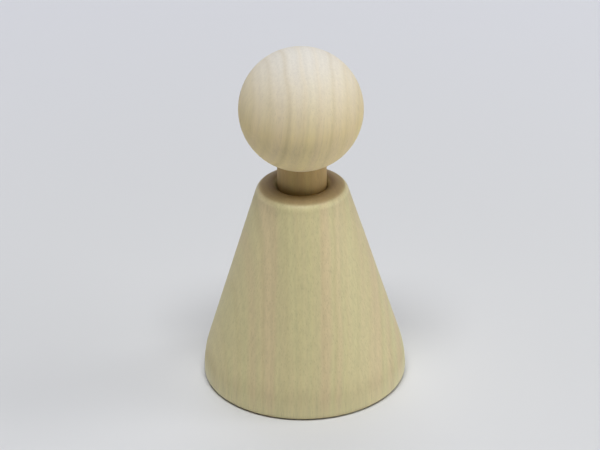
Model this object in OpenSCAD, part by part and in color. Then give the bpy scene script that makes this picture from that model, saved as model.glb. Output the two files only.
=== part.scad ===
// Turned wooden peg doll: a cone-shaped body with a domed shoulder, a short dowel neck and a ball head.
// Millimetres, +Z up. The origin is the centre of the foot, on the surface that the doll stands on.

/* [Body] */
// Diameter of the foot, the widest part of the doll
base_d = 50; // [44:0.5:60]
// Height of the turned body, up to the crown of its shoulder before the socket is bored
body_h = 54; // [46:0.5:60]
// Slope of the straight side, in degrees from upright
side_angle = 17; // [12:0.5:19]
// Radius of the gentle curve that turns the side upright above the foot
flare_r = 27; // [8:1:45]
// Rounding of the edge under the foot
foot_r = 1.2; // [0.3:0.1:2]
// Rounding of the rim between the side and the shoulder
rim_r = 2.6; // [1:0.1:4]
// Radius of the domed shoulder
dome_r = 22; // [17:0.5:32]

/* [Neck] */
// Diameter of the neck dowel
neck_d = 12; // [8:0.5:14]
// Length of neck that shows between the shoulder and the head
neck_show = 5; // [2:0.5:10]
// Length of dowel that stands in the body's socket
body_seat = 14; // [8:0.5:24]
// Length of dowel that is glued into the head's socket
head_seat = 12; // [6:0.5:18]
// Rounding of the mouth of the body's socket, round the foot of the neck
mouth_r = 1.8; // [0.2:0.1:2.4]
// Bevel on both ends of the dowel
dowel_bevel = 0.8; // [0.3:0.1:1.5]

/* [Head] */
// Diameter of the ball head
head_d = 30; // [24:0.5:40]

/* [Fits] */
// Gap all round the dowel where it turns in the body's socket
turn_gap = 0.05; // [0.02:0.01:0.1]
// Gap all round the dowel for the glue film in the head's socket
glue_gap = 0.03; // [0.02:0.01:0.1]
// Room that the glue leaves above the dowel in the head's socket
glue_room = 0.5; // [0.2:0.1:1.5]

/* [Hidden] */
$fn = 128;

// How far a cut runs past the surface that it opens
overrun = 1;
// How far the dome's wedge reaches past its arc, as a share of the radius
dome_far = 1.2;
// Most of the room between socket and rim that the mouth's rounding may take
mouth_share = 0.9;

base_r = base_d / 2;
neck_r = neck_d / 2;
head_r = head_d / 2;
socket_r = neck_r + turn_gap;
dome_z = body_h - dome_r;

// Outward direction of the straight side, and the direction that climbs along it
side_out = [cos(side_angle), sin(side_angle)];
side_up = [-sin(side_angle), cos(side_angle)];

// The curve above the foot starts upright at the foot's rounding and ends where the straight side begins
flare_centre = [base_r - flare_r, foot_r];
side_low = flare_centre + flare_r * side_out;

// The rim's rounding touches the straight side and the dome, which places its centre
rim_out = side_low * side_out - rim_r;
rim_reach = dome_r - rim_r;
rim_up = dome_z * side_up.y + sqrt(pow(rim_reach, 2) - pow(rim_out - dome_z * side_out.y, 2));
rim_centre = rim_out * side_out + rim_up * side_up;
side_high = rim_centre + rim_r * side_out;
dome_low = rim_centre + rim_r * (rim_centre - [0, dome_z]) / rim_reach;

// The mouth's rounding touches the socket's wall and the dome, and stays inside the rim
mouth_room = dome_r * (dome_low.x - socket_r) / (dome_r + dome_low.x);
mouth_fit_r = min(mouth_r, mouth_share * mouth_room);
mouth_reach = dome_r - mouth_fit_r;
mouth_x = socket_r + mouth_fit_r;
mouth_centre = [mouth_x, dome_z + sqrt(pow(mouth_reach, 2) - pow(mouth_x, 2))];
mouth_high = mouth_centre + mouth_fit_r * (mouth_centre - [0, dome_z]) / mouth_reach;

// Heights along the axis, from the socket's floor up to the middle of the ball
neck_foot_z = dome_z + sqrt(pow(dome_r, 2) - pow(neck_r, 2));
dowel_low_z = neck_foot_z - body_seat;
neck_top_z = neck_foot_z + neck_show;
dowel_h = body_seat + neck_show + head_seat;
head_z = neck_top_z + sqrt(pow(head_r, 2) - pow(neck_r, 2));
head_socket_z = neck_top_z + head_seat + glue_room;

// The edge above the foot: a circle's right side, from the level of its centre upwards
module flare() {
    intersection() {
        translate(flare_centre) circle(r = flare_r);
        translate([0, foot_r]) square([base_r + overrun, flare_r]);
    }
}

// The wedge of the dome's circle between the rim and the lip of the socket
module dome() {
    intersection() {
        translate([0, dome_z]) circle(r = dome_r);
        translate([0, dome_z]) polygon([
            [0, 0],
            dome_far * (dome_low - [0, dome_z]),
            dome_far * (mouth_high - [0, dome_z])
        ]);
    }
}

// Half of the body's section: a polygon through the tangent points, filled out by the round forms
module body_outline() {
    polygon([
        [0, 0], [base_r - foot_r, 0], [base_r, foot_r], side_low, side_high,
        dome_low, mouth_high, mouth_centre, [0, mouth_centre.y]
    ]);
    translate([base_r - foot_r, foot_r]) circle(r = foot_r);
    flare();
    translate(rim_centre) circle(r = rim_r);
    dome();
    translate(mouth_centre) circle(r = mouth_fit_r);
}

// Half of the socket's section: the straight bore, and its mouth that opens over the rounded lip
module socket_outline() {
    translate([0, dowel_low_z]) square([socket_r, body_h - dowel_low_z]);
    translate([0, mouth_centre.y]) difference() {
        square([mouth_x, mouth_fit_r + overrun]);
        translate([mouth_x, 0]) circle(r = mouth_fit_r);
    }
}

// The body, turned in one piece, with the socket that the neck turns in
module turned_body() {
    color("#bdb087") rotate_extrude() difference() {
        body_outline();
        socket_outline();
    }
}

// The dowel that is the neck, with a bevel at each end
module neck_dowel() {
    color("#b3a67c") translate([0, 0, dowel_low_z]) {
        cylinder(r1 = neck_r - dowel_bevel, r2 = neck_r, h = dowel_bevel);
        translate([0, 0, dowel_bevel]) cylinder(r = neck_r, h = dowel_h - 2 * dowel_bevel);
        translate([0, 0, dowel_h - dowel_bevel])
            cylinder(r1 = neck_r, r2 = neck_r - dowel_bevel, h = dowel_bevel);
    }
}

// The ball, with the blind socket that the dowel is glued into
module ball_head() {
    color("#d8cdb4") difference() {
        translate([0, 0, head_z]) sphere(r = head_r);
        translate([0, 0, head_z - head_r - overrun])
            cylinder(r = neck_r + glue_gap, h = head_socket_z - head_z + head_r + overrun);
    }
}

turned_body();
neck_dowel();
ball_head();
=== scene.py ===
import logging
import math
from collections.abc import Sequence
from dataclasses import dataclass, field
from enum import Enum

import bpy
from mathutils import Matrix, Vector


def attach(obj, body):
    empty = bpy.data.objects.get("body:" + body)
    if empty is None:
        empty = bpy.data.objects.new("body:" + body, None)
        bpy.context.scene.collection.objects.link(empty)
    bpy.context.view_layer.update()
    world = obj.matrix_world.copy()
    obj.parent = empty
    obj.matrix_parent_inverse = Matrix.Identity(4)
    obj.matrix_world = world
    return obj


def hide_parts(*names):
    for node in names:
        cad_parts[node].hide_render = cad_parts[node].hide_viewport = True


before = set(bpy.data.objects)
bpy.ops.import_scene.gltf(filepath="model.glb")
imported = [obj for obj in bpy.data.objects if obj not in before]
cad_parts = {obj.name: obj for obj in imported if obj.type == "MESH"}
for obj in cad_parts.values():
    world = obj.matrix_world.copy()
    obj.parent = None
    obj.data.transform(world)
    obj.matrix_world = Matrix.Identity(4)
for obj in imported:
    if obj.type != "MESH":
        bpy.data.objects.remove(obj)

log = logging.getLogger("peg_doll")

Tree = bpy.types.NodeTree
Socket = bpy.types.NodeSocket

MM = 0.001
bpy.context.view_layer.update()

# Point attribute that holds how far along its outline a point lies
TRAVEL = "travel"

# Noise seldom leaves this range, so a pattern takes its full effect over it
NOISE_RANGE = (0.3, 0.7)

# How dark a growth ring is from its start to its end: a slow darkening and a quick return
RING_LEVELS = ((0.0, 0.35), (0.2, 0.0), (0.55, 0.15), (0.86, 1.0), (1.0, 0.35))

# Where a rounded edge takes a painted highlight and a burnish: the upward part of its normal,
# and how much it takes there
EDGE_LEVELS = (
    (-1.0, 0.0), (-0.7, 0.0), (-0.3, 1.0), (0.0, 1.0), (0.17, 0.0),
    (0.3, 0.1), (0.46, 0.7), (0.64, 0.7), (0.84, 0.0), (1.0, 0.0),
)


class Body(Enum):
    """The two groups of pieces that move as one."""

    STANDING = "body"
    TURNING = "head"


class Node(Enum):
    """The solids that the turned pieces stand for."""

    BODY = "turned_body"
    DOWEL = "neck_dowel"
    BALL = "ball_head"


class Slot(Enum):
    """The record's material slots."""

    BODY = "body_wood"
    DOWEL = "dowel_wood"
    HEAD = "head_wood"


def linear(hex_colour: str) -> tuple[float, float, float, float]:
    """Turns an sRGB hex colour to linear light, by the curve of that standard.

    Args:
        hex_colour: Six hex digits, such as "c8b98c".

    Returns:
        Red, green, blue and an alpha of 1.
    """
    channels = [int(hex_colour[i:i + 2], 16) / 255 for i in (0, 2, 4)]
    red, green, blue = (
        c / 12.92 if c <= 0.04045 else ((c + 0.055) / 1.055) ** 2.4 for c in channels
    )
    return red, green, blue, 1.0


def add_node(
    tree: Tree, kind: str, inputs: dict | None = None, **settings: object
) -> bpy.types.Node:
    """Adds a node with its settings, and fills or links its inputs.

    Args:
        tree: The node tree that gets the node.
        kind: The node's type name.
        inputs: A value or an output socket for each input, by its name or number.
        settings: Properties of the node itself.

    Returns:
        The new node.
    """
    node = tree.nodes.new(kind)
    for name, value in settings.items():
        setattr(node, name, value)
    for key, value in (inputs or {}).items():
        if isinstance(value, Socket):
            tree.links.new(value, node.inputs[key])
        else:
            node.inputs[key].default_value = value
    return node


def add_object(name: str, data: bpy.types.ID) -> bpy.types.Object:
    """Makes an object and puts it in the scene.

    Args:
        name: Name of the object.
        data: Its mesh, camera or lamp.

    Returns:
        The object.
    """
    made = bpy.data.objects.new(name, data)
    bpy.context.scene.collection.objects.link(made)
    return made


def set_levels(ramp: bpy.types.ColorRamp, levels: Sequence[tuple[float, float]]) -> None:
    """Sets the grey levels along a new colour ramp.

    Args:
        ramp: The ramp, which starts out with a stop at each end.
        levels: Position and level of each stop, in order, with one at each end of the ramp.
    """
    for position, _ in levels[1:-1]:
        ramp.elements.new(position)
    for stop, (_, level) in zip(ramp.elements, levels):
        stop.color = (level, level, level, 1.0)


def axis_distance(tree: Tree, place: Socket) -> Socket:
    """Finds how far each point lies from the Z axis.

    Args:
        tree: The material's nodes.
        place: Coordinates of the point.

    Returns:
        The distance, in the unit of the coordinates.
    """
    flat = add_node(
        tree, "ShaderNodeVectorMath", {0: place, 1: (1.0, 1.0, 0.0)}, operation="MULTIPLY"
    ).outputs[0]
    return add_node(tree, "ShaderNodeVectorMath", {0: flat}, operation="LENGTH").outputs["Value"]


@dataclass
class Outline:
    """Half of a turned section, as points of radius and height, with the wood on its left."""

    step: float = 0.3 * MM
    hidden_step: float = 1.5 * MM
    fewest_arc_steps: int = 6
    closest: float = 0.006 * MM
    points: list[tuple[float, float]] = field(default_factory=list)

    def line(self, radius: float, height: float, hidden: bool = False) -> "Outline":
        """Runs straight to a radius and height.

        Args:
            radius: Distance from the axis at the end of the line.
            height: Height at the end of the line.
            hidden: Whether the stretch is out of sight, in a joint or underneath, and coarse.

        Returns:
            The outline itself.
        """
        if not self.points:
            self.points.append((radius, height))
            return self
        start_r, start_z = self.points[-1]
        step = self.hidden_step if hidden else self.step
        count = max(1, math.ceil(math.hypot(radius - start_r, height - start_z) / step))
        for i in range(1, count + 1):
            share = i / count
            self.points.append((
                start_r + (radius - start_r) * share,
                start_z + (height - start_z) * share,
            ))
        return self

    def arc(
        self, centre: tuple[float, float], radius: float, start: float, end: float
    ) -> "Outline":
        """Runs along an arc from one angle to another, both measured up from level.

        Args:
            centre: Radius and height of the arc's centre.
            radius: Radius of the arc.
            start: First angle in radians.
            end: Last angle in radians.

        Returns:
            The outline itself.
        """
        count = max(self.fewest_arc_steps, math.ceil(abs(end - start) * radius / self.step))
        for i in range(count + 1):
            angle = start + (end - start) * i / count
            self.points.append((
                max(0.0, centre[0] + radius * math.cos(angle)),
                centre[1] + radius * math.sin(angle),
            ))
        return self

    def mesh(self, name: str) -> bpy.types.Mesh:
        """Makes a mesh of loose edges in the XZ plane, and keeps the travel along it.

        Args:
            name: Name of the mesh.

        Returns:
            The mesh.
        """
        kept = [self.points[0]]
        for point in self.points[1:]:
            if math.dist(point, kept[-1]) > self.closest:
                kept.append(point)
        mesh = bpy.data.meshes.new(name)
        edges = [(i, i + 1) for i in range(len(kept) - 1)]
        mesh.from_pydata([(r, 0.0, z) for r, z in kept], edges, [])
        travel = mesh.attributes.new(TRAVEL, "FLOAT", "POINT")
        run = 0.0
        for i, point in enumerate(kept):
            run += math.dist(point, kept[i - 1]) if i else 0.0
            travel.data[i].value = run
        return mesh


@dataclass(frozen=True)
class TurningMarks:
    """Marks that the lathe and the sandpaper leave in bare wood."""

    seed: float
    sanding_depth: float = 0.05 * MM
    sanding_size: float = 7 * MM
    gouge_depth: float = 0.006 * MM
    gouge_pitch: float = 0.9 * MM


@dataclass
class Lathe:
    """A Geometry Nodes lathe: it turns an outline to a closed solid and leaves its marks."""

    steps: int = 256
    sharp_angle: float = math.radians(38)
    weld: float = 0.002 * MM
    hollow_detail: float = 2.0
    hollow_roughness: float = 0.4
    tree: bpy.types.GeometryNodeTree | None = None
    sockets: dict[str, str] = field(default_factory=dict)

    def build(self) -> "Lathe":
        """Builds the node tree once.

        Returns:
            The lathe itself.
        """
        self.tree = bpy.data.node_groups.new("lathe", "GeometryNodeTree")
        kinds = {
            "Outline": "NodeSocketGeometry",
            "Steps": "NodeSocketInt",
            "Sanding Depth": "NodeSocketFloat",
            "Sanding Size": "NodeSocketFloat",
            "Gouge Depth": "NodeSocketFloat",
            "Gouge Pitch": "NodeSocketFloat",
            "Seed": "NodeSocketFloat",
            "Finish": "NodeSocketMaterial",
        }
        ports = self.tree.interface
        for name, kind in kinds.items():
            socket = ports.new_socket(name=name, in_out="INPUT", socket_type=kind)
            self.sockets[name] = socket.identifier
        ports.new_socket(name="Solid", in_out="OUTPUT", socket_type="NodeSocketGeometry")
        given = add_node(self.tree, "NodeGroupInput").outputs
        solid = self._spin(given)
        solid = self._work_surface(given, solid)
        solid = self._shade(solid)
        solid = add_node(self.tree, "GeometryNodeRealizeInstances", {"Geometry": solid}).outputs[0]
        solid = add_node(
            self.tree, "GeometryNodeSetMaterial", {"Geometry": solid, "Material": given["Finish"]}
        ).outputs[0]
        add_node(self.tree, "NodeGroupOutput", {"Solid": solid})
        return self

    def _spin(self, given: bpy.types.NodeOutputs) -> Socket:
        """Lays a grid over the turned surface: a row for each step, a column for each point.

        Args:
            given: The tree's own inputs.

        Returns:
            The welded solid.
        """
        tree = self.tree
        count = add_node(
            tree, "GeometryNodeAttributeDomainSize", {"Geometry": given["Outline"]},
            component="MESH",
        ).outputs["Point Count"]
        rows = add_node(
            tree, "FunctionNodeIntegerMath", {0: given["Steps"], 1: 1}, operation="ADD"
        ).outputs[0]
        grid = add_node(
            tree, "GeometryNodeMeshGrid",
            {"Size X": 1.0, "Size Y": 1.0, "Vertices X": rows, "Vertices Y": count},
        ).outputs["Mesh"]
        index = add_node(tree, "GeometryNodeInputIndex").outputs[0]
        row, column = (
            add_node(
                tree, "FunctionNodeIntegerMath", {0: index, 1: count}, operation=operation
            ).outputs[0]
            for operation in ("DIVIDE_FLOOR", "MODULO")
        )
        place = add_node(tree, "GeometryNodeInputPosition").outputs[0]
        named = add_node(
            tree, "GeometryNodeInputNamedAttribute", {"Name": TRAVEL}, data_type="FLOAT"
        ).outputs[0]
        point, travel = (
            add_node(
                tree, "GeometryNodeSampleIndex",
                {"Geometry": given["Outline"], "Value": value, "Index": column},
                data_type=kind, domain="POINT",
            ).outputs[0]
            for value, kind in ((place, "FLOAT_VECTOR"), (named, "FLOAT"))
        )
        turn = add_node(
            tree, "ShaderNodeMath", {0: row, 1: given["Steps"]}, operation="DIVIDE"
        ).outputs[0]
        angle = add_node(
            tree, "ShaderNodeMath", {0: turn, 1: math.tau}, operation="MULTIPLY"
        ).outputs[0]
        turned = add_node(
            tree, "ShaderNodeVectorRotate", {"Vector": point, "Angle": angle},
            rotation_type="Z_AXIS",
        ).outputs[0]
        marked = add_node(
            tree, "GeometryNodeStoreNamedAttribute",
            {"Geometry": grid, "Name": TRAVEL, "Value": travel},
            data_type="FLOAT", domain="POINT",
        ).outputs[0]
        placed = add_node(
            tree, "GeometryNodeSetPosition", {"Geometry": marked, "Position": turned}
        ).outputs[0]
        return add_node(
            tree, "GeometryNodeMergeByDistance", {"Geometry": placed, "Distance": self.weld}
        ).outputs[0]

    def _work_surface(self, given: bpy.types.NodeOutputs, solid: Socket) -> Socket:
        """Takes wood away, never adds any: hollows from sanding and faint rings from the gouge.

        Args:
            given: The tree's own inputs.
            solid: The turned solid.

        Returns:
            The worked solid.
        """
        tree = self.tree
        place = add_node(tree, "GeometryNodeInputPosition").outputs[0]
        scale = add_node(
            tree, "ShaderNodeMath", {0: 1.0, 1: given["Sanding Size"]}, operation="DIVIDE"
        ).outputs[0]
        hollow = add_node(
            tree, "ShaderNodeTexNoise",
            {"Vector": place, "W": given["Seed"], "Scale": scale, "Detail": self.hollow_detail,
             "Roughness": self.hollow_roughness},
            noise_dimensions="4D",
        ).outputs["Fac"]
        sanded = add_node(
            tree, "ShaderNodeMath", {0: hollow, 1: given["Sanding Depth"]}, operation="MULTIPLY"
        ).outputs[0]
        travel = add_node(
            tree, "GeometryNodeInputNamedAttribute", {"Name": TRAVEL}, data_type="FLOAT"
        ).outputs[0]

        # The travel gives rings, which fade where the noise is low, then the sanded depth is
        # added and the whole is turned inwards
        depth = travel
        for operation, other in (
            ("DIVIDE", {1: given["Gouge Pitch"]}),
            ("MULTIPLY", {1: math.tau}),
            ("SINE", {}),
            ("ADD", {1: 1.0}),
            ("MULTIPLY", {1: hollow}),
            ("MULTIPLY", {1: given["Gouge Depth"]}),
            ("ADD", {1: sanded}),
            ("MULTIPLY", {1: -1.0}),
        ):
            depth = add_node(
                tree, "ShaderNodeMath", {0: depth, **other}, operation=operation
            ).outputs[0]
        normal = add_node(tree, "GeometryNodeInputNormal").outputs[0]
        offset = add_node(
            tree, "ShaderNodeVectorMath", {0: normal, "Scale": depth}, operation="SCALE"
        ).outputs[0]
        return add_node(
            tree, "GeometryNodeSetPosition", {"Geometry": solid, "Offset": offset}
        ).outputs[0]

    def _shade(self, solid: Socket) -> Socket:
        """Shades the solid smooth, with crisp edges where two faces meet at a corner.

        Args:
            solid: The worked solid.

        Returns:
            The shaded solid.
        """
        tree = self.tree
        angle = add_node(tree, "GeometryNodeInputMeshEdgeAngle").outputs["Unsigned Angle"]
        soft = add_node(
            tree, "FunctionNodeCompare", {0: angle, 1: self.sharp_angle},
            data_type="FLOAT", operation="LESS_THAN",
        ).outputs[0]
        for domain, smooth in (("FACE", True), ("EDGE", soft)):
            solid = add_node(
                tree, "GeometryNodeSetShadeSmooth", {"Geometry": solid, "Shade Smooth": smooth},
                domain=domain,
            ).outputs[0]
        return solid

    def turn(
        self, name: str, outline: Outline, finish: bpy.types.Material, marks: TurningMarks
    ) -> bpy.types.Object:
        """Turns one piece and makes it a plain mesh.

        Args:
            name: Name of the piece.
            outline: Half of its section.
            finish: Its material.
            marks: What turning and sanding left on it.

        Returns:
            The finished piece, at the origin.
        """
        blank = add_object(name + "_outline", outline.mesh(name + "_outline"))
        modifier = blank.modifiers.new("lathe", "NODES")
        modifier.node_group = self.tree
        values = {
            "Steps": self.steps,
            "Sanding Depth": marks.sanding_depth,
            "Sanding Size": marks.sanding_size,
            "Gouge Depth": marks.gouge_depth,
            "Gouge Pitch": marks.gouge_pitch,
            "Seed": marks.seed,
            "Finish": finish,
        }
        for socket, value in values.items():
            modifier[self.sockets[socket]] = value
        bpy.context.view_layer.update()
        turned = blank.evaluated_get(bpy.context.evaluated_depsgraph_get())
        solid = bpy.data.meshes.new_from_object(turned)
        bpy.data.objects.remove(blank)
        solid.name = name
        solid.attributes.remove(solid.attributes[TRAVEL])
        return add_object(name, solid)


@dataclass(frozen=True)
class Streaks:
    """Soft streaks that run with the grain: noise, drawn out along it."""

    across: float
    along: float
    detail: float = 2.0
    roughness: float = 0.55

    def draw(self, tree: Tree, grain: Socket) -> Socket:
        """Draws the streaks.

        Args:
            tree: The material's nodes.
            grain: Coordinates with the grain along Z, in metres.

        Returns:
            The noise, from 0 to 1.
        """
        stretched = add_node(
            tree, "ShaderNodeMapping",
            {"Vector": grain, "Scale": (1 / self.across, 1 / self.across, 1 / self.along)},
        ).outputs[0]
        return add_node(
            tree, "ShaderNodeTexNoise",
            {"Vector": stretched, "Scale": 1.0, "Detail": self.detail,
             "Roughness": self.roughness},
        ).outputs["Fac"]


@dataclass(frozen=True)
class Dashes:
    """Short dark marks that run with the grain, at most one to a cell.

    The half width is a share of the cell. Each cell draws a lot from 0 to 1. Below the first
    chance it stays empty, and above the second its mark shows in full.
    """

    across: float
    along: float
    half_width: float
    chance: tuple[float, float] | None = None

    def draw(self, tree: Tree, grain: Socket) -> Socket:
        """Scatters the marks.

        Args:
            tree: The material's nodes.
            grain: Coordinates with the grain along Z, in metres.

        Returns:
            The share of mark, from 0 to 1.
        """
        stretched = add_node(
            tree, "ShaderNodeMapping",
            {"Vector": grain, "Scale": (1 / self.across, 1 / self.across, 1 / self.along)},
        ).outputs[0]
        cells = add_node(
            tree, "ShaderNodeTexVoronoi", {"Vector": stretched, "Scale": 1.0}, feature="F1"
        ).outputs
        mark = add_node(
            tree, "ShaderNodeMapRange",
            {"Value": cells["Distance"], "From Min": self.half_width / 2,
             "From Max": self.half_width, "To Min": 1.0, "To Max": 0.0},
            interpolation_type="SMOOTHSTEP",
        ).outputs["Result"]
        if not self.chance:
            return mark
        lot = add_node(tree, "ShaderNodeSeparateColor", {"Color": cells["Color"]}).outputs["Red"]
        present = add_node(
            tree, "ShaderNodeMapRange",
            {"Value": lot, "From Min": self.chance[0], "From Max": self.chance[1]},
        ).outputs["Result"]
        return add_node(
            tree, "ShaderNodeMath", {0: mark, 1: present}, operation="MULTIPLY"
        ).outputs[0]


@dataclass(frozen=True, kw_only=True)
class PaintedShade:
    """A painted shade: a dark ring where one piece meets another, standing in for the shade that
    falls there.
    """

    tone: str = "6a4c26"
    radius: tuple[float, float]
    height: tuple[float, float]
    share: float

    def amount(self, tree: Tree, place: Socket) -> Socket:
        """Finds how dark the ring is: full at the first radius and height, none at the second.

        Args:
            tree: The material's nodes.
            place: Coordinates on the piece's own axes.

        Returns:
            The share of the ring's tone, from 0 to 1.
        """
        away = axis_distance(tree, place)
        height = add_node(tree, "ShaderNodeSeparateXYZ", {0: place}).outputs["Z"]
        near, level = (
            add_node(
                tree, "ShaderNodeMapRange",
                {"Value": value, "From Min": full, "From Max": none, "To Min": 1.0,
                 "To Max": 0.0},
                interpolation_type="SMOOTHSTEP",
            ).outputs["Result"]
            for value, (full, none) in ((away, self.radius), (height, self.height))
        )
        both = add_node(
            tree, "ShaderNodeMath", {0: near, 1: level}, operation="MULTIPLY"
        ).outputs[0]
        return add_node(
            tree, "ShaderNodeMath", {0: both, 1: self.share}, operation="MULTIPLY"
        ).outputs[0]


@dataclass(frozen=True)
class Figure:
    """What the patterns of a wood give at each point of a piece."""

    place: Socket
    grain: Socket
    layers: Socket
    upright: Socket
    edges: Socket
    rings: Socket
    fibres: Socket
    pores: Socket


@dataclass(frozen=True, kw_only=True)
class Wood:
    """Bare, sanded, pale hardwood with fine pores, such as birch or beech.

    The eye gets a warm, chalky, even face with soft growth bands and hair-fine fibre streaks
    that run with the grain, and a browner tone where the end grain shows. The finish is dry,
    with only a broad dull sheen. Some tones are painted light: a paler top, pale edge
    highlights, and painted shade where the pieces meet.
    """

    name: str

    # Two tones of the early wood, then late wood and end grain. On the body's shoulder the end
    # grain tone is also painted shade
    straw: str
    rosy: str
    late: str
    end: str

    # Where the tree's pith ran past the piece, and how it leaned
    pith: tuple[float, float, float]
    lean: tuple[float, float, float] = (0.0, 0.0, 0.0)

    # Growth rings: their pitch, how many pitches they wander, and their strength
    ring_pitch: float
    ring_waver: float = 1.2
    ring_share: float = 0.25
    weakest_ring: float = 0.35

    # Streaks, by their width and length. Real fibres are a few hundredths of a millimetre
    # wide, too fine to show, so they are drawn as bundles
    wander: Streaks = Streaks(14 * MM, 120 * MM)
    hues: Streaks = Streaks(3.2 * MM, 90 * MM, detail=1.0)
    stripes: Streaks = Streaks(1.2 * MM, 90 * MM)
    fibres: Streaks = Streaks(0.6 * MM, 30 * MM)
    stripe_share: float = 0.03
    fibre_share: float = 0.04

    # Pores are drawn about twice their real width, so that they show at all. Flecks are the
    # few small brown ones that pale timber has, half a millimetre wide
    pores: Dashes = Dashes(0.34 * MM, 3.2 * MM, half_width=0.34)
    flecks: Dashes = Dashes(3.0 * MM, 9.0 * MM, half_width=0.16, chance=(0.5, 0.9))
    pore_share: float = 0.1
    fleck_share: float = 0.12

    # Upright part of the normal where end grain, and a painted top light, starts and is full
    end_reach: tuple[float, float] = (0.7, 0.96)
    end_share: float = 0.9
    painted_top_light: str = ""
    painted_top_light_reach: tuple[float, float] = (-0.05, 1.03)

    # Rounded edges with a painted highlight and a burnish, and a painted shade ring where one
    # piece meets another
    painted_edge_highlight: str = ""
    painted_edge_highlight_share: float = 0.5
    burnish: float = 0.26
    painted_shade: PaintedShade | None = None

    # Roughness, with its range from low to high fibres, and the relief of fibres and rings
    roughness: float
    fibre_range: tuple[float, float] = (0.2, 0.8)
    roughness_reach: tuple[float, float] = (-0.05, 0.07)
    ior: float = 1.5
    relief_depth: float = 0.02 * MM
    relief_strength: float = 0.6
    ring_relief: float = 0.5

    def _spread(self, tree: Tree, noise: Socket, low: float, high: float) -> Socket:
        """Spreads noise over the whole stretch between two values.

        Args:
            tree: The material's nodes.
            noise: The noise, which seldom comes near 0 or 1.
            low: Value where the noise is low.
            high: Value where the noise is high.

        Returns:
            The value at each point.
        """
        return add_node(
            tree, "ShaderNodeMapRange",
            {"Value": noise, "From Min": NOISE_RANGE[0], "From Max": NOISE_RANGE[1],
             "To Min": low, "To Max": high},
            interpolation_type="SMOOTHSTEP",
        ).outputs["Result"]

    def _layers(self, tree: Tree, grain: Socket) -> Socket:
        """Finds where each point lies in the layers that the tree grew round its pith.

        Args:
            tree: The material's nodes.
            grain: Coordinates with the pith along Z, in metres.

        Returns:
            Coordinates with the distance from the pith, which wanders, along X and the grain
            along Z.
        """
        drift = self.wander.draw(tree, grain)
        depth = add_node(
            tree, "ShaderNodeMath",
            {0: drift, 1: self.ring_waver * self.ring_pitch, 2: axis_distance(tree, grain)},
            operation="MULTIPLY_ADD",
        ).outputs[0]
        along = add_node(tree, "ShaderNodeSeparateXYZ", {0: grain}).outputs["Z"]
        return add_node(tree, "ShaderNodeCombineXYZ", {"X": depth, "Z": along}).outputs[0]

    def _rings(self, tree: Tree, layers: Socket) -> Socket:
        """Draws the growth rings, each with a strength of its own.

        Args:
            tree: The material's nodes.
            layers: Coordinates with the distance from the pith along X.

        Returns:
            The share of late wood, from 0 to 1.
        """
        depth = add_node(tree, "ShaderNodeSeparateXYZ", {0: layers}).outputs["X"]
        count = add_node(
            tree, "ShaderNodeMath", {0: depth, 1: self.ring_pitch}, operation="DIVIDE"
        ).outputs[0]
        phase = add_node(tree, "ShaderNodeMath", {0: count}, operation="FRACT").outputs[0]
        ramp = add_node(tree, "ShaderNodeValToRGB", {"Fac": phase})
        ramp.color_ramp.interpolation = "EASE"
        set_levels(ramp.color_ramp, RING_LEVELS)
        year = add_node(tree, "ShaderNodeMath", {0: count}, operation="FLOOR").outputs[0]
        luck = add_node(
            tree, "ShaderNodeTexWhiteNoise", {"W": year}, noise_dimensions="1D"
        ).outputs["Value"]
        strength = add_node(
            tree, "ShaderNodeMapRange",
            {"Value": luck, "To Min": self.weakest_ring, "To Max": 1.0},
        ).outputs["Result"]
        return add_node(
            tree, "ShaderNodeMath", {0: ramp.outputs["Color"], 1: strength},
            operation="MULTIPLY",
        ).outputs[0]

    def _edges(self, tree: Tree, upright: Socket) -> Socket:
        """Finds rounded edges for a painted highlight and burnish, by how far they lean up or
        down.

        Args:
            tree: The material's nodes.
            upright: The upward part of the normal.

        Returns:
            How much painted highlight and burnish the edge takes, from 0 to 1.
        """
        lean = add_node(
            tree, "ShaderNodeMapRange", {"Value": upright, "From Min": -1.0}
        ).outputs["Result"]
        ramp = add_node(tree, "ShaderNodeValToRGB", {"Fac": lean})
        set_levels(ramp.color_ramp, [((up + 1) / 2, level) for up, level in EDGE_LEVELS])
        return ramp.outputs["Color"]

    def _figure(self, tree: Tree) -> Figure:
        """Draws the wood's patterns on the piece's own axes.

        Args:
            tree: The material's nodes.

        Returns:
            What they give at each point.
        """
        where = add_node(tree, "ShaderNodeTexCoord").outputs
        grain = add_node(
            tree, "ShaderNodeMapping",
            {"Vector": where["Object"], "Location": tuple(-p for p in self.pith),
             "Rotation": self.lean},
        ).outputs[0]
        layers = self._layers(tree, grain)
        upright = add_node(tree, "ShaderNodeSeparateXYZ", {0: where["Normal"]}).outputs["Z"]
        return Figure(
            place=where["Object"],
            grain=grain,
            layers=layers,
            upright=upright,
            edges=self._edges(tree, upright),
            rings=self._rings(tree, layers),
            fibres=self.fibres.draw(tree, grain),
            pores=self.pores.draw(tree, grain),
        )

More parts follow.
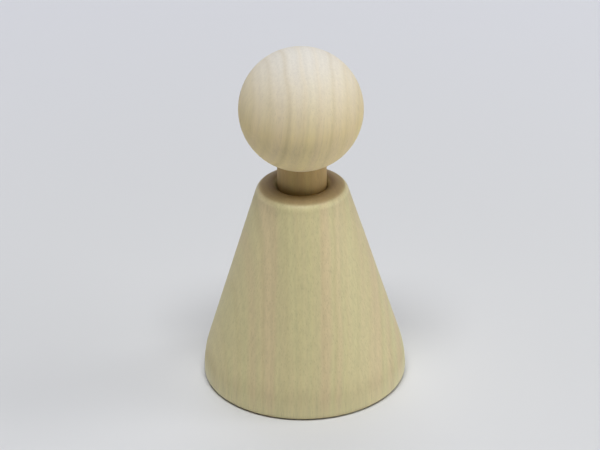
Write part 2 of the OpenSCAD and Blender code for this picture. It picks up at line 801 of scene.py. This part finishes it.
    def _tone(self, tree: Tree, figure: Figure) -> Socket:
        """Lays the wood's tones over each other: early wood, end grain, painted top light, late
        wood, painted edge highlight and painted shade.

        Args:
            tree: The material's nodes.
            figure: The wood's patterns.

        Returns:
            The colour, before its fine shading.
        """
        hue = self._spread(tree, self.hues.draw(tree, figure.layers), 0.0, 1.0)
        steep = add_node(
            tree, "ShaderNodeMath", {0: figure.upright}, operation="ABSOLUTE"
        ).outputs[0]
        cut = add_node(
            tree, "ShaderNodeMapRange",
            {"Value": steep, "From Min": self.end_reach[0], "From Max": self.end_reach[1],
             "To Min": 0.0, "To Max": self.end_share},
            interpolation_type="SMOOTHSTEP",
        ).outputs["Result"]
        layers = [(hue, self.rosy), (cut, self.end)]
        # Painted top light: the ball is painted paler and cooler towards its top, warmer below
        if self.painted_top_light:
            top_light_share = add_node(
                tree, "ShaderNodeMapRange",
                {"Value": figure.upright, "From Min": self.painted_top_light_reach[0],
                 "From Max": self.painted_top_light_reach[1]},
            ).outputs["Result"]
            layers.append((top_light_share, self.painted_top_light))
        late = add_node(
            tree, "ShaderNodeMath", {0: figure.rings, 1: self.ring_share}, operation="MULTIPLY"
        ).outputs[0]
        layers.append((late, self.late))
        # Painted highlight: rounded edges are painted pale where they catch the light
        if self.painted_edge_highlight:
            pale = add_node(
                tree, "ShaderNodeMath", {0: figure.edges, 1: self.painted_edge_highlight_share},
                operation="MULTIPLY",
            ).outputs[0]
            layers.append((pale, self.painted_edge_highlight))
        # Painted shade: a dark ring round the neck's foot, where the head shades the joint
        if self.painted_shade:
            layers.append((self.painted_shade.amount(tree, figure.place), self.painted_shade.tone))
        face = linear(self.straw)
        for share, tone in layers:
            face = add_node(
                tree, "ShaderNodeMix", {"Factor": share, 6: face, 7: linear(tone)},
                data_type="RGBA",
            ).outputs[2]
        return face

    def _colour(self, tree: Tree, figure: Figure) -> Socket:
        """Shades the wood's tones with its fibres, stripes, pores and flecks.

        Args:
            tree: The material's nodes.
            figure: The wood's patterns.

        Returns:
            The colour.
        """
        face = self._tone(tree, figure)
        fibres, stripes = (
            self._spread(tree, noise, 1 - share, 1 + share)
            for noise, share in (
                (figure.fibres, self.fibre_share),
                (self.stripes.draw(tree, figure.layers), self.stripe_share),
            )
        )
        shade = add_node(
            tree, "ShaderNodeMath", {0: fibres, 1: stripes}, operation="MULTIPLY"
        ).outputs[0]
        flecks = self.flecks.draw(tree, figure.grain)
        for mark, share in ((figure.pores, self.pore_share), (flecks, self.fleck_share)):
            left = add_node(
                tree, "ShaderNodeMapRange", {"Value": mark, "To Min": 1.0, "To Max": 1 - share}
            ).outputs["Result"]
            shade = add_node(
                tree, "ShaderNodeMath", {0: shade, 1: left}, operation="MULTIPLY"
            ).outputs[0]
        return add_node(
            tree, "ShaderNodeVectorMath", {0: face, "Scale": shade}, operation="SCALE"
        ).outputs[0]

    def _dullness(self, tree: Tree, figure: Figure) -> Socket:
        """Finds the roughness, which the fibres vary and wear takes down.

        Args:
            tree: The material's nodes.
            figure: The wood's patterns.

        Returns:
            The roughness.
        """
        dull = add_node(
            tree, "ShaderNodeMapRange",
            {"Value": figure.fibres, "From Min": self.fibre_range[0],
             "From Max": self.fibre_range[1],
             "To Min": self.roughness + self.roughness_reach[0],
             "To Max": self.roughness + self.roughness_reach[1]},
        ).outputs["Result"]
        if self.painted_edge_highlight:
            dull = add_node(
                tree, "ShaderNodeMath", {0: figure.edges, 1: -self.burnish, 2: dull},
                operation="MULTIPLY_ADD",
            ).outputs[0]
        return dull

    def _relief(self, tree: Tree, figure: Figure) -> Socket:
        """Raises the fibres and the late wood a little, and sinks the pores.

        Args:
            tree: The material's nodes.
            figure: The wood's patterns.

        Returns:
            The normal.
        """
        raised = add_node(
            tree, "ShaderNodeMath", {0: figure.rings, 1: self.ring_relief, 2: figure.fibres},
            operation="MULTIPLY_ADD",
        ).outputs[0]
        height = add_node(
            tree, "ShaderNodeMath", {0: raised, 1: figure.pores}, operation="SUBTRACT"
        ).outputs[0]
        return add_node(
            tree, "ShaderNodeBump",
            {"Strength": self.relief_strength, "Distance": self.relief_depth,
             "Height": height},
        ).outputs["Normal"]

    def material(self) -> bpy.types.Material:
        """Builds the finish.

        Returns:
            The material.
        """
        made = bpy.data.materials.new(self.name)
        made.use_nodes = True
        tree = made.node_tree
        tree.nodes.clear()
        figure = self._figure(tree)
        shader = add_node(
            tree, "ShaderNodeBsdfPrincipled",
            {"Base Color": self._colour(tree, figure), "Roughness": self._dullness(tree, figure),
             "IOR": self.ior, "Normal": self._relief(tree, figure)},
        ).outputs[0]
        add_node(tree, "ShaderNodeOutputMaterial", {"Surface": shader})
        return made


@dataclass
class NeckDowel:
    """The dowel that is the neck: glued in the head, turning in the body."""

    diameter: float = 12 * MM
    bevel: float = 0.8 * MM
    body_seat: float = 14 * MM
    show: float = 5 * MM
    head_seat: float = 12 * MM

    @property
    def radius(self) -> float:
        """Half of the dowel's diameter."""
        return self.diameter / 2

    def outline(self, low: float) -> Outline:
        """Draws half of the dowel's section.

        Args:
            low: Height of the dowel's lower end.

        Returns:
            The outline.
        """
        high = low + self.body_seat + self.show + self.head_seat
        return (
            Outline()
            .line(0, low)
            .line(self.radius - self.bevel, low, hidden=True)
            .line(self.radius, low + self.bevel)
            .line(self.radius, high - self.bevel)
            .line(self.radius - self.bevel, high)
            .line(0, high, hidden=True)
        )


@dataclass
class TurnedBody:
    """The body, turned in one piece, with the socket that the neck turns in."""

    foot_diameter: float = 50 * MM
    height: float = 54 * MM
    side_angle: float = math.radians(17)
    flare_radius: float = 27 * MM
    foot_rounding: float = 1.2 * MM
    rim_rounding: float = 2.6 * MM
    dome_radius: float = 22 * MM
    turn_gap: float = 0.05 * MM
    mouth_rounding: float = 1.8 * MM

    @property
    def dome_centre(self) -> float:
        """Height of the centre of the domed shoulder."""
        return self.height - self.dome_radius

    def neck_foot(self, dowel: NeckDowel) -> float:
        """Height at which the dowel leaves the shoulder."""
        return self.dome_centre + math.sqrt(self.dome_radius ** 2 - dowel.radius ** 2)

    def rim_centre(self) -> tuple[float, float]:
        """Places the rim's rounding so that it touches the straight side and the dome.

        Returns:
            Radius and height of its centre.
        """
        out = Vector((math.cos(self.side_angle), math.sin(self.side_angle)))
        up = Vector((-out.y, out.x))
        flare_centre = Vector((self.foot_diameter / 2 - self.flare_radius, self.foot_rounding))
        dome_centre = Vector((0.0, self.dome_centre))
        reach = flare_centre.dot(out) + self.flare_radius - self.rim_rounding
        span = self.dome_radius - self.rim_rounding
        climb = dome_centre.dot(up) + math.sqrt(span ** 2 - (reach - dome_centre.dot(out)) ** 2)
        centre = out * reach + up * climb
        return centre.x, centre.y

    def outline(self, dowel: NeckDowel) -> Outline:
        """Draws half of the body's section: foot, flare, side, rim, shoulder and socket.

        Args:
            dowel: The dowel that the socket holds.

        Returns:
            The outline.
        """
        foot_radius = self.foot_diameter / 2
        rim = self.rim_centre()
        rim_angle = math.atan2(rim[1] - self.dome_centre, rim[0])
        socket = dowel.radius + self.turn_gap
        mouth_r = socket + self.mouth_rounding
        mouth_span = self.dome_radius - self.mouth_rounding
        mouth_z = self.dome_centre + math.sqrt(mouth_span ** 2 - mouth_r ** 2)
        mouth_angle = math.atan2(mouth_z - self.dome_centre, mouth_r)
        floor = self.neck_foot(dowel) - dowel.body_seat
        edge = (foot_radius - self.foot_rounding, self.foot_rounding)
        flare = (foot_radius - self.flare_radius, self.foot_rounding)
        side_end = (
            rim[0] + self.rim_rounding * math.cos(self.side_angle),
            rim[1] + self.rim_rounding * math.sin(self.side_angle),
        )
        return (
            Outline()
            .line(0, 0)
            .line(edge[0], 0, hidden=True)
            .arc(edge, self.foot_rounding, -math.pi / 2, 0)
            .arc(flare, self.flare_radius, 0, self.side_angle)
            .line(*side_end)
            .arc(rim, self.rim_rounding, self.side_angle, rim_angle)
            .arc((0, self.dome_centre), self.dome_radius, rim_angle, mouth_angle)
            .arc((mouth_r, mouth_z), self.mouth_rounding, mouth_angle, math.pi)
            .line(socket, floor, hidden=True)
            .line(0, floor, hidden=True)
        )


@dataclass
class BallHead:
    """The ball, with the blind socket that the dowel is glued into."""

    diameter: float = 30 * MM
    glue_gap: float = 0.03 * MM
    glue_room: float = 0.5 * MM
    mouth_rounding: float = 0.12 * MM

    def outline(self, dowel: NeckDowel, neck_top: float) -> Outline:
        """Draws half of the ball's section: socket, mouth and ball.

        Args:
            dowel: The dowel that the socket holds.
            neck_top: Height at which the dowel enters the ball.

        Returns:
            The outline.
        """
        radius = self.diameter / 2
        centre = neck_top + math.sqrt(radius ** 2 - dowel.radius ** 2)
        socket = dowel.radius + self.glue_gap
        roof = neck_top + dowel.head_seat + self.glue_room
        mouth_r = socket + self.mouth_rounding
        mouth_z = centre - math.sqrt((radius - self.mouth_rounding) ** 2 - mouth_r ** 2)
        mouth_angle = math.atan2(mouth_z - centre, mouth_r)
        return (
            Outline()
            .line(0, roof)
            .line(socket, roof, hidden=True)
            .line(socket, mouth_z, hidden=True)
            .arc((mouth_r, mouth_z), self.mouth_rounding, -math.pi, mouth_angle)
            .arc((0, centre), radius, mouth_angle, math.pi / 2)
        )


@dataclass
class Doll:
    """The whole doll: a standing body, and a head and neck that turn together."""

    body: TurnedBody = field(default_factory=TurnedBody)
    dowel: NeckDowel = field(default_factory=NeckDowel)
    head: BallHead = field(default_factory=BallHead)

    def finishes(self) -> dict[Node, Wood]:
        """Gives the wood of each piece.

        Returns:
            The finish for each solid.
        """
        return {
            # Warm straw colour with a hint of olive: the body takes the light softly and shows
            # straight streaks. Its cut shoulder is browner, partly as end grain and partly as
            # painted shade under the head. Its rim and foot edge get a painted highlight, and a
            # painted shade ring darkens the shoulder round the neck
            Node.BODY: Wood(
                name="turned_birch_body",
                straw="cfc695", rosy="d3c197", late="b7a470", end="a48857",
                pith=(-66 * MM, -18 * MM, 0.0),
                lean=(math.radians(0.6), math.radians(-0.5), 0.0),
                ring_pitch=2.9 * MM, ring_share=0.18, painted_edge_highlight="ebe2ae", roughness=0.56,
                painted_shade=PaintedShade(radius=(6.8 * MM, 12.4 * MM), height=(46 * MM, 40 * MM), share=0.25),
            ),
            # Closer-grained than the body, as beech dowel rod is. Its darker, browner tone is
            # painted shade for the neck under the head, and a painted shade ring darkens its foot
            Node.DOWEL: Wood(
                name="beech_dowel_rod",
                straw="c0a566", rosy="bd9e64", late="9e7e49", end="a8834a",
                pith=(30 * MM, -12 * MM, 0.0), ring_pitch=1.9 * MM, roughness=0.6,
                painted_shade=PaintedShade(radius=(20 * MM, 21 * MM), height=(52.4 * MM, 55.2 * MM), share=0.2),
            ),
            # The palest of the three, with a few soft bands that run up and over. It is painted
            # nearly white at the top and warmer below, as painted top light
            Node.BALL: Wood(
                name="turned_birch_ball",
                straw="e9d6a0", rosy="e8d3a6", late="c4ad7c", end="d8c49a", painted_top_light="d3cfc6",
                pith=(75 * MM, 8 * MM, 0.0), lean=(0.0, math.radians(-8), 0.0),
                ring_pitch=3.6 * MM, ring_waver=0.9, ring_share=0.24,
                fibre_share=0.03, pore_share=0.06, fleck_share=0.06, roughness=0.72,
            ),
        }

    def build(self, lathe: Lathe) -> list[bpy.types.Object]:
        """Turns the three pieces, dresses them and puts each on its body.

        Args:
            lathe: The lathe that turns them.

        Returns:
            The pieces.
        """
        neck_foot = self.body.neck_foot(self.dowel)
        neck_top = neck_foot + self.dowel.show
        outlines = {
            Node.BODY: self.body.outline(self.dowel),
            Node.DOWEL: self.dowel.outline(neck_foot - self.dowel.body_seat),
            Node.BALL: self.head.outline(self.dowel, neck_top),
        }
        marks = {
            Node.BODY: TurningMarks(seed=3.0),
            Node.DOWEL: TurningMarks(
                seed=8.0, sanding_depth=0.03 * MM, sanding_size=4 * MM, gouge_depth=0.0
            ),
            Node.BALL: TurningMarks(seed=5.0, sanding_size=9 * MM, gouge_depth=0.004 * MM),
        }
        bodies = {Node.BODY: Body.STANDING, Node.DOWEL: Body.TURNING, Node.BALL: Body.TURNING}
        pieces = []
        for node, wood in self.finishes().items():
            piece = lathe.turn("wood_" + node.value, outlines[node], wood.material(), marks[node])
            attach(piece, bodies[node].value)
            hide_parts(node.value)
            pieces.append(piece)
        return pieces


@dataclass
class PhotoCamera:
    """The camera, where the photograph's outline says that it stood."""

    frame_width: int = 600
    focal_pixels: float = 2946.0
    sensor: float = 36.0
    distance: float = 716 * MM
    elevation: float = math.radians(28.6)
    roll: float = math.radians(0.9)
    aim: tuple[float, float, float] = (-0.66 * MM, 0.0, 40.5 * MM)
    nearest: float = 0.01
    farthest: float = 20.0

    def build(self) -> None:
        """Makes the camera and points it."""
        lens = bpy.data.cameras.new("photo_camera")
        lens.sensor_width = self.sensor
        lens.lens = self.sensor * self.focal_pixels / self.frame_width
        lens.clip_start = self.nearest
        lens.clip_end = self.farthest
        camera = add_object("photo_camera", lens)
        back = Vector((0.0, -math.cos(self.elevation), math.sin(self.elevation)))
        right = Vector((1.0, 0.0, 0.0))
        up = back.cross(right)
        turn = Matrix((right, up, back)).transposed().to_4x4()
        place = Matrix.Translation(Vector(self.aim) + back * self.distance)
        camera.matrix_world = place @ turn @ Matrix.Rotation(-self.roll, 4, "Z")
        bpy.context.scene.camera = camera


@dataclass(frozen=True)
class Softbox:
    """A flat soft lamp, aimed at the doll, with its angles in degrees round and up."""

    name: str
    azimuth: float
    elevation: float
    width: float
    height: float
    power: float
    distance: float = 1.1
    colour: str = "ffffff"

    def build(self, target: Vector) -> None:
        """Hangs the lamp.

        Args:
            target: The point that it faces.
        """
        data = bpy.data.lights.new(self.name, "AREA")
        data.shape = "RECTANGLE"
        data.size = self.width
        data.size_y = self.height
        data.energy = self.power
        data.color = linear(self.colour)[:3]
        lamp = add_object(self.name, data)
        azimuth, elevation = math.radians(self.azimuth), math.radians(self.elevation)
        away = Vector((
            math.sin(azimuth) * math.cos(elevation),
            -math.cos(azimuth) * math.cos(elevation),
            math.sin(elevation),
        ))
        lamp.location = target + away * self.distance
        lamp.rotation_euler = away.to_track_quat("Z", "Y").to_euler()
        lamp.visible_camera = False


@dataclass
class Studio:
    """A plain pale floor under plain soft light."""

    floor_radius: float = 4.0
    floor_corners: int = 64
    floor_colour: str = "d4d5d6"
    floor_roughness: float = 0.9
    floor_specular: float = 0.05
    outer_colour: str = "e0e1e6"
    outer_reach: tuple[float, float] = (60 * MM, 320 * MM)
    backdrop_colour: str = "d8dae0"
    backdrop_reach: tuple[float, float] = (200 * MM, 850 * MM)
    sky_colour: str = "f2f4ff"
    sky_strength: float = 0.03
    target_height: float = 45 * MM
    lamps: tuple[Softbox, ...] = (
        Softbox("overhead_strip", azimuth=-3, elevation=74, width=0.75, height=0.3, power=10.1),
        Softbox("right_window", azimuth=78, elevation=8, width=0.7, height=0.7, power=4.0),
        Softbox("right_lamp", azimuth=100, elevation=48, width=0.25, height=0.25, power=1.2),
        Softbox("left_window", azimuth=270, elevation=8, width=0.7, height=0.7, power=0.7),
        Softbox(
            "back_window", azimuth=182, elevation=56, width=0.7, height=0.7, power=2.9,
            colour="eef1ff",
        ),
    )

    def build(self) -> None:
        """Makes the floor, the sky and the lamps."""
        self._floor()
        self._sky()
        for lamp in self.lamps:
            lamp.build(Vector((0.0, 0.0, self.target_height)))

    def _floor(self) -> None:
        """Lays a round floor that keeps the doll's shadow."""
        angles = [math.tau * i / self.floor_corners for i in range(self.floor_corners)]
        corners = [
            (self.floor_radius * math.cos(angle), self.floor_radius * math.sin(angle), 0.0)
            for angle in angles
        ]
        mesh = bpy.data.meshes.new("floor")
        mesh.from_pydata(corners, [], [tuple(range(self.floor_corners))])
        mesh.materials.append(self._board())
        floor = add_object("floor", mesh)

    def _board(self) -> bpy.types.Material:
        """Builds the floor's matt pale board, which fades to the backdrop far out.

        Returns:
            The material.
        """
        board = bpy.data.materials.new("matt_pale_board")
        board.use_nodes = True
        tree = board.node_tree
        tree.nodes.clear()
        where = add_node(tree, "ShaderNodeTexCoord").outputs["Object"]
        away = add_node(
            tree, "ShaderNodeVectorMath", {0: where}, operation="LENGTH"
        ).outputs["Value"]
        outer, far = (
            add_node(
                tree, "ShaderNodeMapRange", {"Value": away, "From Min": near, "From Max": full},
                interpolation_type="SMOOTHSTEP",
            ).outputs["Result"]
            for near, full in (self.outer_reach, self.backdrop_reach)
        )
        colour = add_node(
            tree, "ShaderNodeMix",
            {"Factor": outer, 6: linear(self.floor_colour), 7: linear(self.outer_colour)},
            data_type="RGBA",
        ).outputs[2]
        shader = add_node(
            tree, "ShaderNodeBsdfPrincipled",
            {"Base Color": colour, "Roughness": self.floor_roughness,
             "Specular IOR Level": self.floor_specular},
        ).outputs[0]
        faded = add_node(
            tree, "ShaderNodeMath", {0: far, 1: self._seen(tree)}, operation="MULTIPLY"
        ).outputs[0]
        haze = add_node(
            tree, "ShaderNodeEmission",
            {"Color": linear(self.backdrop_colour), "Strength": 1.0},
        ).outputs[0]
        mixed = add_node(tree, "ShaderNodeMixShader", {0: faded, 1: shader, 2: haze}).outputs[0]
        add_node(tree, "ShaderNodeOutputMaterial", {"Surface": mixed})
        return board

    def _seen(self, tree: Tree) -> Socket:
        """Picks the rays that see the backdrop: the camera's, and those of gloss and glass.

        Args:
            tree: The nodes of the floor or of the world.

        Returns:
            1 for those rays and 0 for the rest, so that the backdrop gives no diffuse light.
        """
        rays = add_node(tree, "ShaderNodeLightPath").outputs
        seen = rays["Is Camera Ray"]
        for kind in ("Is Glossy Ray", "Is Transmission Ray"):
            seen = add_node(
                tree, "ShaderNodeMath", {0: seen, 1: rays[kind]}, operation="MAXIMUM"
            ).outputs[0]
        return seen

    def _sky(self) -> None:
        """Fills the room with even light, a little cool, round a plain pale backdrop."""
        world = bpy.data.worlds.new("soft_room")
        world.use_nodes = True
        tree = world.node_tree
        tree.nodes.clear()
        glow, backdrop = (
            add_node(
                tree, "ShaderNodeBackground", {"Color": linear(colour), "Strength": strength}
            ).outputs[0]
            for colour, strength in (
                (self.sky_colour, self.sky_strength), (self.backdrop_colour, 1.0)
            )
        )
        mixed = add_node(
            tree, "ShaderNodeMixShader", {0: self._seen(tree), 1: glow, 2: backdrop}
        ).outputs[0]
        add_node(tree, "ShaderNodeOutputWorld", {"Surface": mixed})
        bpy.context.scene.world = world


def main() -> None:
    """Builds the camera, the studio and the doll, and reports each piece."""
    logging.basicConfig(level=logging.INFO, format="%(name)s: %(message)s")
    bpy.context.scene.view_settings.view_transform = "Standard"
    PhotoCamera().build()
    Studio().build()
    for piece in Doll().build(Lathe().build()):
        # Set Material puts its finish in the last slot, after an empty one
        mesh, finish = piece.data, piece.data.materials[-1]
        log.info("%s: %d faces, finish %s", piece.name, len(mesh.polygons), finish.name)


if __name__ == "__main__":
    main()
